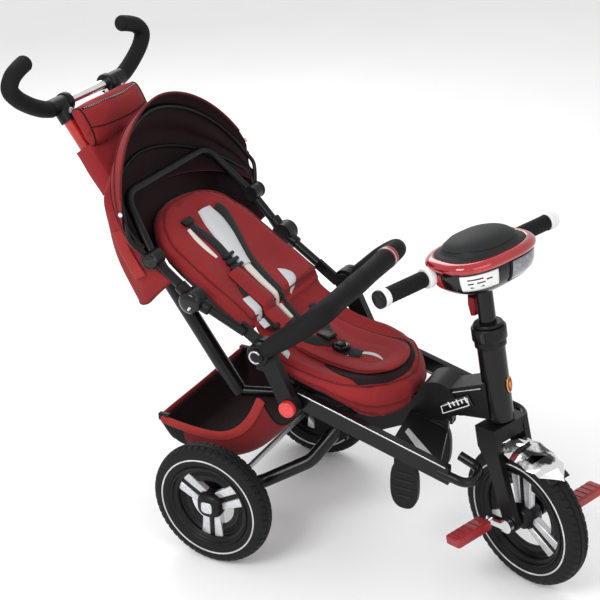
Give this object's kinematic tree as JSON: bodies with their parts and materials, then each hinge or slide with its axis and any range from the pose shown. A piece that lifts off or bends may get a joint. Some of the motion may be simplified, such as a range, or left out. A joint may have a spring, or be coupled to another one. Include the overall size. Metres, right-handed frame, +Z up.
{
  "type": "children's tricycle",
  "caption": "Push-along children's tricycle with a padded reclining seat, folding hood, storage basket, play console and parent handle.",
  "frame": {"origin": "on the floor, in the middle of the footprint seen from above", "axes": "+X forward, +Y to the rider's left, +Z up"},
  "size_m": [1.1206, 0.502, 0.9571],
  "materials": {
    "tyre": "moulded tread, thin pale ring on the wall",
    "rim_black": "moulded black",
    "silver_plastic": "silver paint",
    "frame_black": "powder coat",
    "axle_steel": "drawn bar",
    "chrome": "polished",
    "black_plastic": "fine grain",
    "red_gloss": "glossy deep red",
    "red_plastic": "moulded red",
    "red_tube": "bright red paint",
    "foam_black": "foam sleeve",
    "grip_black": "ribbed grip",
    "red_fabric": "woven nylon with piping",
    "grey_fabric": "soft padded weave",
    "black_fabric": "woven webbing and lining",
    "lamp_clear": "smoky lens",
    "white_cap": "white moulding"
  },
  "bodies": {
    "frame": {"rear_axle": "axle_steel", "rear_bow_tubes": "frame_black", "main_beam": "black_plastic", "head_tube": "frame_black", "head_collar": "black_plastic", "footrest_rails": "frame_black", "footboard": "black_plastic", "footrest_inserts": "silver_plastic", "seat_support": "black_plastic", "seat_shell": "black_plastic", "seat_cushion": "red_fabric", "crotch_buckle": "black_plastic", "seat_side_brackets": "black_plastic", "storage_basket": "red_fabric", "basket_rim_wire": "frame_black", "handle_sockets": "frame_black", "brake_housings": "black_plastic"},
    "rear_wheel_left": {"rear_tyre_left": "tyre", "rear_rim_left": "rim_black", "rear_spokes_left": "silver_plastic"},
    "rear_wheel_right": {"rear_tyre_right": "tyre", "rear_rim_right": "rim_black", "rear_spokes_right": "silver_plastic"},
    "brake_pedal_left": {"brake_pedal_left": "red_plastic"},
    "brake_pedal_right": {"brake_pedal_right": "red_plastic"},
    "steering": {"steering_stem": "frame_black", "fork": "black_plastic", "front_fender": "chrome", "handlebar_tube": "frame_black", "handlebar_grips": "grip_black", "grip_rings": "white_cap", "console_housing": "black_plastic", "console_bezel": "red_gloss", "console_dome": "black_plastic", "console_headlight": "lamp_clear"},
    "console_button": {"console_button": "red_plastic"},
    "stem_lever": {"stem_lever": "red_plastic"},
    "front_wheel": {"front_tyre": "tyre", "front_rim": "rim_black", "front_spokes": "silver_plastic", "crank_axle": "chrome"},
    "pedal_left": {"pedal_left": "red_plastic"},
    "pedal_right": {"pedal_right": "red_plastic"},
    "backrest": {"backrest_frame": "frame_black", "backrest_board": "black_plastic", "backrest_cushion": "red_fabric", "shoulder_pads": "grey_fabric", "canopy_rear_hood": "red_fabric"},
    "canopy": {"canopy_visor": "red_fabric", "canopy_cover": "red_fabric"},
    "bumper": {"bumper_bar": "foam_black"},
    "push_handle": {"handle_tubes": "red_tube", "handle_clamps": "black_plastic", "handle_cross_tube": "chrome", "push_grips": "foam_black", "parent_bag": "red_fabric"},
    "release_button_left": {"release_button_left": "red_plastic"},
    "release_button_right": {"release_button_right": "red_plastic"},
    "foot_plate_left": {"foot_plate_left": "black_plastic"},
    "foot_plate_right": {"foot_plate_right": "black_plastic"}
  },
  "joints": [
    {"name": "steer", "type": "hinge", "parent": "frame", "child": "steering", "pos_m": [0.394, 0, 0.13759], "axis": [-0.1685, 0, 0.9857], "range_deg": [-16.5, 63.5]},
    {"name": "front_wheel_spin", "type": "hinge", "parent": "steering", "child": "front_wheel", "pos_m": [0.42564, -0.01396, 0.143], "axis": [0.393, 0.9171, 0.0672], "continuous": true},
    {"name": "pedal_left_spin", "type": "hinge", "parent": "front_wheel", "child": "pedal_left", "pos_m": [0.50684, 0.07017, 0.15688], "axis": [0.393, 0.9171, 0.0672], "continuous": true},
    {"name": "pedal_right_spin", "type": "hinge", "parent": "front_wheel", "child": "pedal_right", "pos_m": [0.34444, -0.09809, 0.12912], "axis": [0.393, 0.9171, 0.0672], "continuous": true},
    {"name": "rear_wheel_left_spin", "type": "hinge", "parent": "frame", "child": "rear_wheel_left", "pos_m": [-0.14, 0.223, 0.1275], "axis": [0, 1, 0], "continuous": true},
    {"name": "rear_wheel_right_spin", "type": "hinge", "parent": "frame", "child": "rear_wheel_right", "pos_m": [-0.14, -0.223, 0.1275], "axis": [0, 1, 0], "continuous": true},
    {"name": "backrest_recline", "type": "hinge", "parent": "frame", "child": "backrest", "pos_m": [-0.042, 0, 0.461], "axis": [0, 1, 0], "range_deg": [0, 28]},
    {"name": "canopy_fold", "type": "hinge", "parent": "backrest", "child": "canopy", "pos_m": [-0.263, 0, 0.61], "axis": [0, 1, 0], "range_deg": [-14, 20], "deforming": ["canopy_cover"]},
    {"name": "bumper_swing", "type": "hinge", "parent": "frame", "child": "bumper", "pos_m": [-0.042, 0, 0.461], "axis": [0, 1, 0], "range_deg": [-50, 0]},
    {"name": "handle_slide", "type": "slide", "parent": "frame", "child": "push_handle", "axis": [0.5736, 0, -0.8192], "range_m": [-0.08, 0]},
    {"name": "stem_lever_open", "type": "hinge", "parent": "steering", "child": "stem_lever", "pos_m": [0.29602, 0.01037, 0.56926], "axis": [0.393, 0.9171, 0.0672], "range_deg": [0, 25]},
    {"name": "console_button_press", "type": "slide", "parent": "steering", "child": "console_button", "axis": [0.9039, -0.3987, 0.1545], "range_m": [0, 0.003], "stiffness_N_per_m": 300},
    {"name": "release_button_left_press", "type": "slide", "parent": "frame", "child": "release_button_left", "axis": [0, -1, 0], "range_m": [0, 0.003], "stiffness_N_per_m": 500},
    {"name": "release_button_right_press", "type": "slide", "parent": "frame", "child": "release_button_right", "axis": [0, 1, 0], "range_m": [0, 0.003], "stiffness_N_per_m": 500},
    {"name": "foot_plate_left_fold", "type": "hinge", "parent": "frame", "child": "foot_plate_left", "pos_m": [0.205, 0.08, 0.252], "axis": [1, 0, 0], "range_deg": [0, 85]},
    {"name": "foot_plate_right_fold", "type": "hinge", "parent": "frame", "child": "foot_plate_right", "pos_m": [0.205, -0.08, 0.252], "axis": [1, 0, 0], "range_deg": [-85, 0]},
    {"name": "brake_left_press", "type": "hinge", "parent": "frame", "child": "brake_pedal_left", "pos_m": [-0.178, 0.177, 0.14], "axis": [0, 1, 0], "range_deg": [-18, 0]},
    {"name": "brake_right_press", "type": "hinge", "parent": "frame", "child": "brake_pedal_right", "pos_m": [-0.178, -0.177, 0.14], "axis": [0, 1, 0], "range_deg": [-18, 0]}
  ]
}
